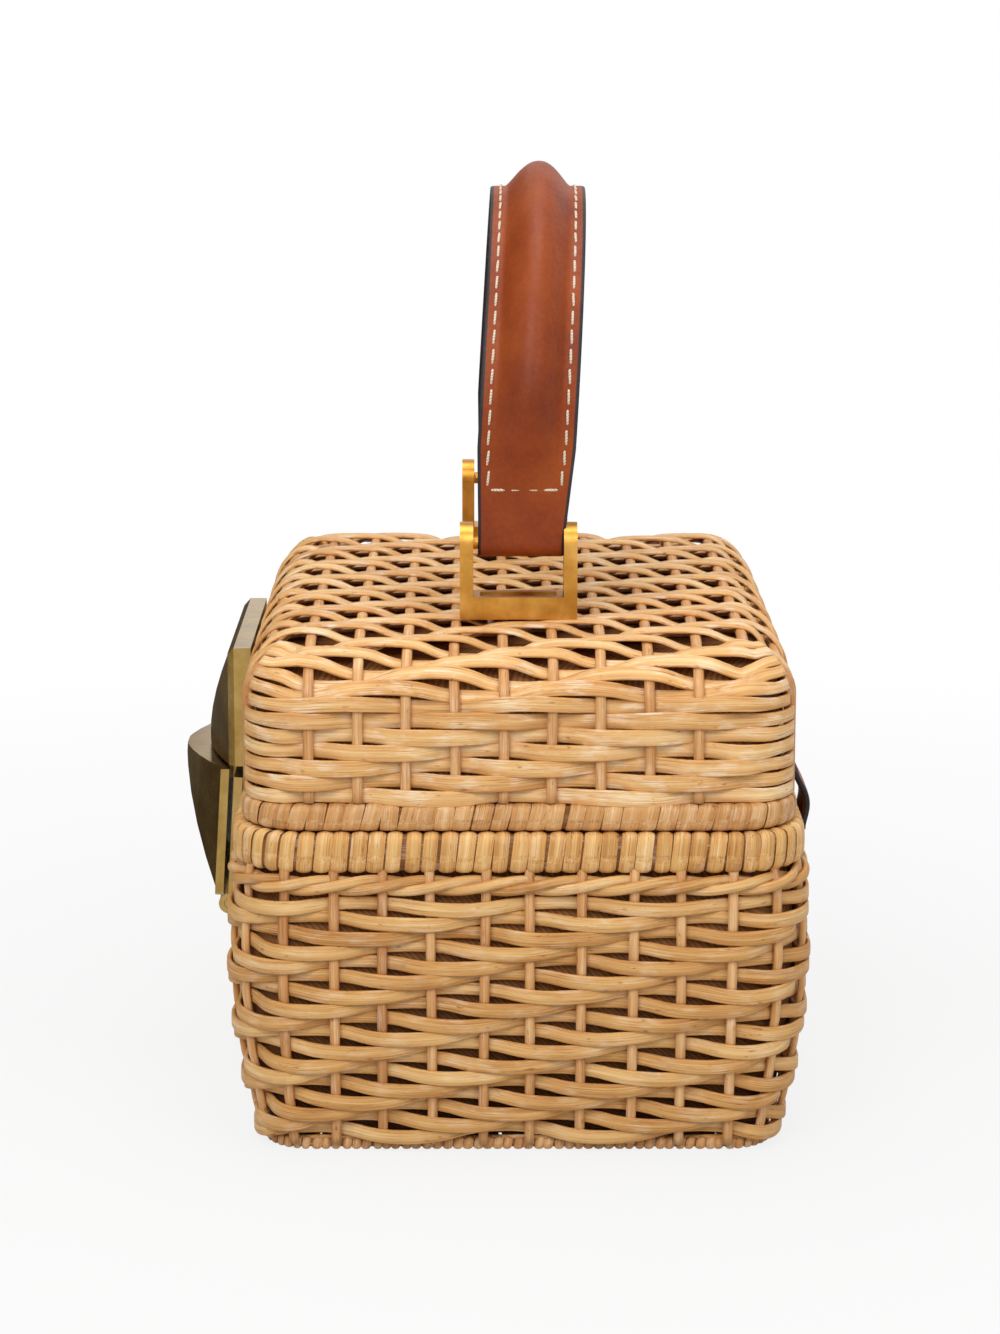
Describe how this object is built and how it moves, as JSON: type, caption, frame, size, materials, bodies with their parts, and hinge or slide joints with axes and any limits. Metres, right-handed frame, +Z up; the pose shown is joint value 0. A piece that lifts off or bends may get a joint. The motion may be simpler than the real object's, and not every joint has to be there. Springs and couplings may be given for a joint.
{
  "type": "wicker box handbag",
  "caption": "Woven rattan box handbag with a hinged lid, padded leather top handle on brass brackets, and a brass front clasp with a hinged flap.",
  "frame": {"origin": "middle of the flat underside of the basket", "axes": "X along the bag's length, -Y towards the clasp, +Z up"},
  "size_m": [0.188, 0.1542, 0.228],
  "materials": {
    "wicker_body": "natural rattan, satin",
    "wicker_lid": "natural rattan, satin",
    "leather": "smooth fine grain",
    "filler": "matt felt cord",
    "bracket_brass": "polished, aged",
    "clasp_brass": "polished, pale",
    "steel": "plated"
  },
  "bodies": {
    "basket": {"body_basket": "wicker_body", "body_rim": "wicker_body", "body_clasp_plate": "clasp_brass", "body_clasp_backing": "steel", "body_clasp_rivets": "clasp_brass", "clasp_magnet": "steel", "latch_pin": "clasp_brass", "hinge_strap_near": "leather", "hinge_strap_far": "leather"},
    "lid": {"lid_basket": "wicker_lid", "lid_rim": "wicker_lid", "handle_cover": "leather", "handle_lining": "leather", "handle_core": "filler", "handle_bracket_near": "bracket_brass", "handle_bracket_far": "bracket_brass", "handle_pin_near": "bracket_brass", "handle_pin_far": "bracket_brass", "bracket_backing_near": "steel", "bracket_backing_far": "steel", "bracket_screws": "steel", "lid_clasp_plate": "clasp_brass", "lid_clasp_backing": "steel", "lid_clasp_rivets": "clasp_brass"},
    "latch": {"latch_flap": "clasp_brass"}
  },
  "joints": [
    {"name": "lid_hinge", "type": "hinge", "parent": "basket", "child": "lid", "pos_m": [0, 0.0685, 0.079], "axis": [-1, 0, 0], "range_deg": [0, 100], "deforming": ["hinge_strap_near", "hinge_strap_far"]},
    {"name": "latch_hinge", "type": "hinge", "parent": "basket", "child": "latch", "pos_m": [0, -0.07215, 0.04484], "axis": [1, 0, 0], "range_deg": [0, 75]}
  ]
}
